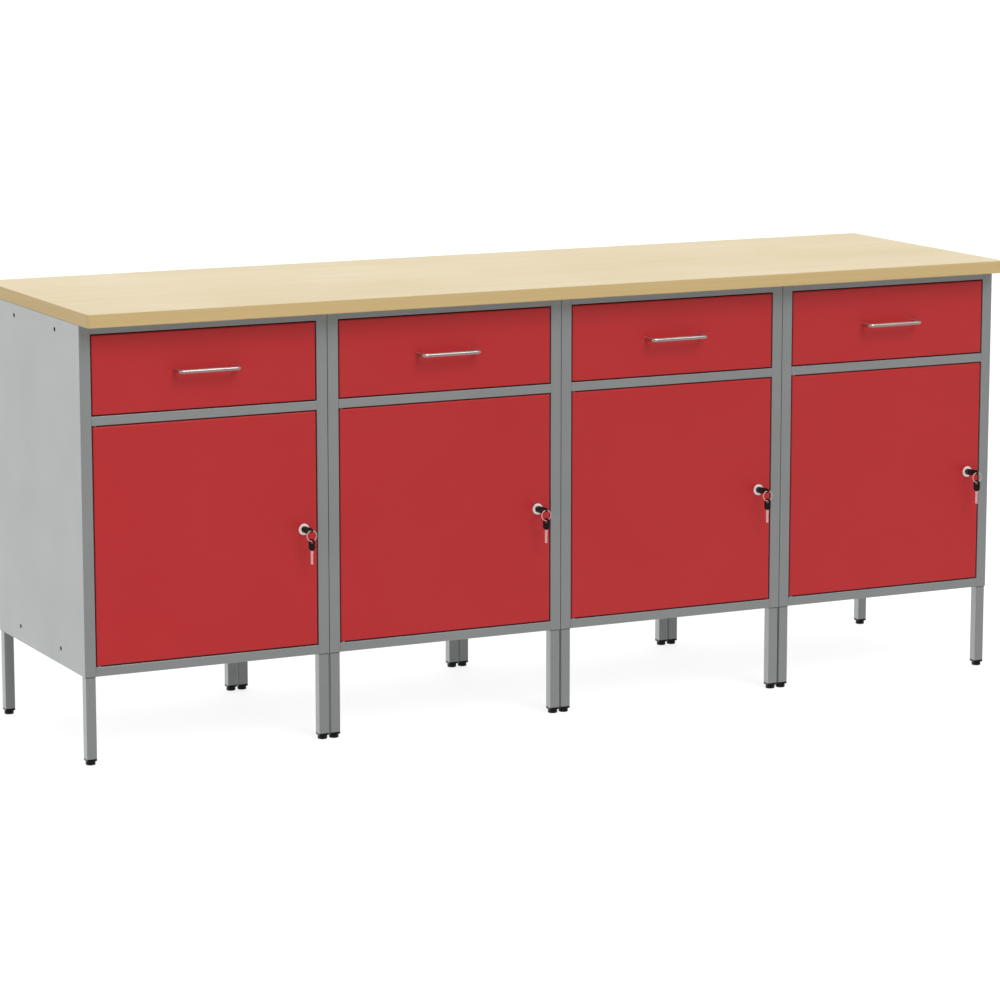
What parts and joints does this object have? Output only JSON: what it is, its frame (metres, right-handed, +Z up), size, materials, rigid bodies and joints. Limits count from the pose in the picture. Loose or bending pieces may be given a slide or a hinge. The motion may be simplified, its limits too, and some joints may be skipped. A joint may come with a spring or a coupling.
{
  "type": "workbench with drawers",
  "caption": "Steel workbench: cabinets side by side under a wooden worktop, each with a drawer over a hinged, lockable door, on short square legs.",
  "frame": {"origin": "on the floor, under the centre of the worktop", "axes": "+Z up, +X to the right along the bench, +Y to the back; the drawers and doors face -Y"},
  "size_m": [2, 0.6, 0.86],
  "materials": {
    "worktop_laminate": "satin beech laminate",
    "grey_paint": "fine-textured light grey powder coat",
    "red_paint": "fine-textured red powder coat",
    "zinc_steel": "zinc plated",
    "satin_steel": "satin nickel",
    "lock_chrome": "bright chrome",
    "black_plastic": "matt black",
    "key_plastic": "black key head; the blade is bare steel"
  },
  "bodies": {
    "bench": {"worktop": "worktop_laminate", "worktop_screws": "zinc_steel", "legs": "grey_paint", "glide_feet": "black_plastic", "shelves": "grey_paint", "shelf_clips": "zinc_steel", "joining_bolts": "zinc_steel", "joining_nuts": "zinc_steel", "drawer_runners": "zinc_steel", "hinge_pins": "zinc_steel", "carcass_1": "grey_paint", "carcass_2": "grey_paint", "carcass_3": "grey_paint", "carcass_4": "grey_paint", "front_frame_1": "grey_paint", "front_frame_2": "grey_paint", "front_frame_3": "grey_paint", "front_frame_4": "grey_paint"},
    "drawer_1": {"drawer_box_1": "grey_paint", "drawer_front_1": "red_paint", "drawer_slides_1": "zinc_steel", "drawer_handle_1": "satin_steel"},
    "drawer_2": {"drawer_box_2": "grey_paint", "drawer_front_2": "red_paint", "drawer_slides_2": "zinc_steel", "drawer_handle_2": "satin_steel"},
    "drawer_3": {"drawer_box_3": "grey_paint", "drawer_front_3": "red_paint", "drawer_slides_3": "zinc_steel", "drawer_handle_3": "satin_steel"},
    "drawer_4": {"drawer_box_4": "grey_paint", "drawer_front_4": "red_paint", "drawer_slides_4": "zinc_steel", "drawer_handle_4": "satin_steel"},
    "door_1": {"door_1": "red_paint", "lock_body_1": "lock_chrome"},
    "door_2": {"door_2": "red_paint", "lock_body_2": "lock_chrome"},
    "door_3": {"door_3": "red_paint", "lock_body_3": "lock_chrome"},
    "door_4": {"door_4": "red_paint", "lock_body_4": "lock_chrome"},
    "lock_1": {"lock_plug_1": "lock_chrome", "key_1": "key_plastic"},
    "lock_2": {"lock_plug_2": "lock_chrome", "key_2": "key_plastic"},
    "lock_3": {"lock_plug_3": "lock_chrome", "key_3": "key_plastic"},
    "lock_4": {"lock_plug_4": "lock_chrome", "key_4": "key_plastic"},
    "ring_1": {"key_ring_1": "lock_chrome"},
    "ring_2": {"key_ring_2": "lock_chrome"},
    "ring_3": {"key_ring_3": "lock_chrome"},
    "ring_4": {"key_ring_4": "lock_chrome"},
    "spare_1": {"spare_key_1": "key_plastic"},
    "spare_2": {"spare_key_2": "key_plastic"},
    "spare_3": {"spare_key_3": "key_plastic"},
    "spare_4": {"spare_key_4": "key_plastic"}
  },
  "joints": [
    {"name": "drawer_1_slide", "type": "slide", "parent": "bench", "child": "drawer_1", "axis": [0, -1, 0], "range_m": [0, 0.35]},
    {"name": "drawer_2_slide", "type": "slide", "parent": "bench", "child": "drawer_2", "axis": [0, -1, 0], "range_m": [0, 0.35]},
    {"name": "drawer_3_slide", "type": "slide", "parent": "bench", "child": "drawer_3", "axis": [0, -1, 0], "range_m": [0, 0.35]},
    {"name": "drawer_4_slide", "type": "slide", "parent": "bench", "child": "drawer_4", "axis": [0, -1, 0], "range_m": [0, 0.35]},
    {"name": "door_1_hinge", "type": "hinge", "parent": "bench", "child": "door_1", "pos_m": [-0.9693, -0.244, 0.417], "axis": [0, 0, -1], "range_deg": [0, 100]},
    {"name": "door_2_hinge", "type": "hinge", "parent": "bench", "child": "door_2", "pos_m": [-0.4693, -0.244, 0.417], "axis": [0, 0, -1], "range_deg": [0, 100]},
    {"name": "door_3_hinge", "type": "hinge", "parent": "bench", "child": "door_3", "pos_m": [0.0307, -0.244, 0.417], "axis": [0, 0, -1], "range_deg": [0, 100]},
    {"name": "door_4_hinge", "type": "hinge", "parent": "bench", "child": "door_4", "pos_m": [0.5307, -0.244, 0.417], "axis": [0, 0, -1], "range_deg": [0, 100]},
    {"name": "lock_1_turn", "type": "hinge", "parent": "door_1", "child": "lock_1", "pos_m": [-0.5517, -0.25, 0.417], "axis": [0, 1, 0], "range_deg": [0, 90]},
    {"name": "lock_2_turn", "type": "hinge", "parent": "door_2", "child": "lock_2", "pos_m": [-0.0517, -0.25, 0.417], "axis": [0, 1, 0], "range_deg": [0, 90]},
    {"name": "lock_3_turn", "type": "hinge", "parent": "door_3", "child": "lock_3", "pos_m": [0.4483, -0.25, 0.417], "axis": [0, 1, 0], "range_deg": [0, 90]},
    {"name": "lock_4_turn", "type": "hinge", "parent": "door_4", "child": "lock_4", "pos_m": [0.9483, -0.25, 0.417], "axis": [0, 1, 0], "range_deg": [0, 90]},
    {"name": "key_ring_1_swing", "type": "hinge", "parent": "lock_1", "child": "ring_1", "pos_m": [-0.5517, -0.288, 0.4203], "axis": [1, 0, 0], "range_deg": [-30, 20]},
    {"name": "key_ring_2_swing", "type": "hinge", "parent": "lock_2", "child": "ring_2", "pos_m": [-0.0517, -0.288, 0.4203], "axis": [1, 0, 0], "range_deg": [-30, 20]},
    {"name": "key_ring_3_swing", "type": "hinge", "parent": "lock_3", "child": "ring_3", "pos_m": [0.4483, -0.288, 0.4203], "axis": [1, 0, 0], "range_deg": [-30, 20]},
    {"name": "key_ring_4_swing", "type": "hinge", "parent": "lock_4", "child": "ring_4", "pos_m": [0.9483, -0.288, 0.4203], "axis": [1, 0, 0], "range_deg": [-30, 20]},
    {"name": "spare_key_1_swing", "type": "hinge", "parent": "ring_1", "child": "spare_1", "pos_m": [-0.5517, -0.288, 0.4003], "axis": [1, 0, 0], "range_deg": [-30, 15]},
    {"name": "spare_key_2_swing", "type": "hinge", "parent": "ring_2", "child": "spare_2", "pos_m": [-0.0517, -0.288, 0.4003], "axis": [1, 0, 0], "range_deg": [-30, 15]},
    {"name": "spare_key_3_swing", "type": "hinge", "parent": "ring_3", "child": "spare_3", "pos_m": [0.4483, -0.288, 0.4003], "axis": [1, 0, 0], "range_deg": [-30, 15]},
    {"name": "spare_key_4_swing", "type": "hinge", "parent": "ring_4", "child": "spare_4", "pos_m": [0.9483, -0.288, 0.4003], "axis": [1, 0, 0], "range_deg": [-30, 15]}
  ]
}
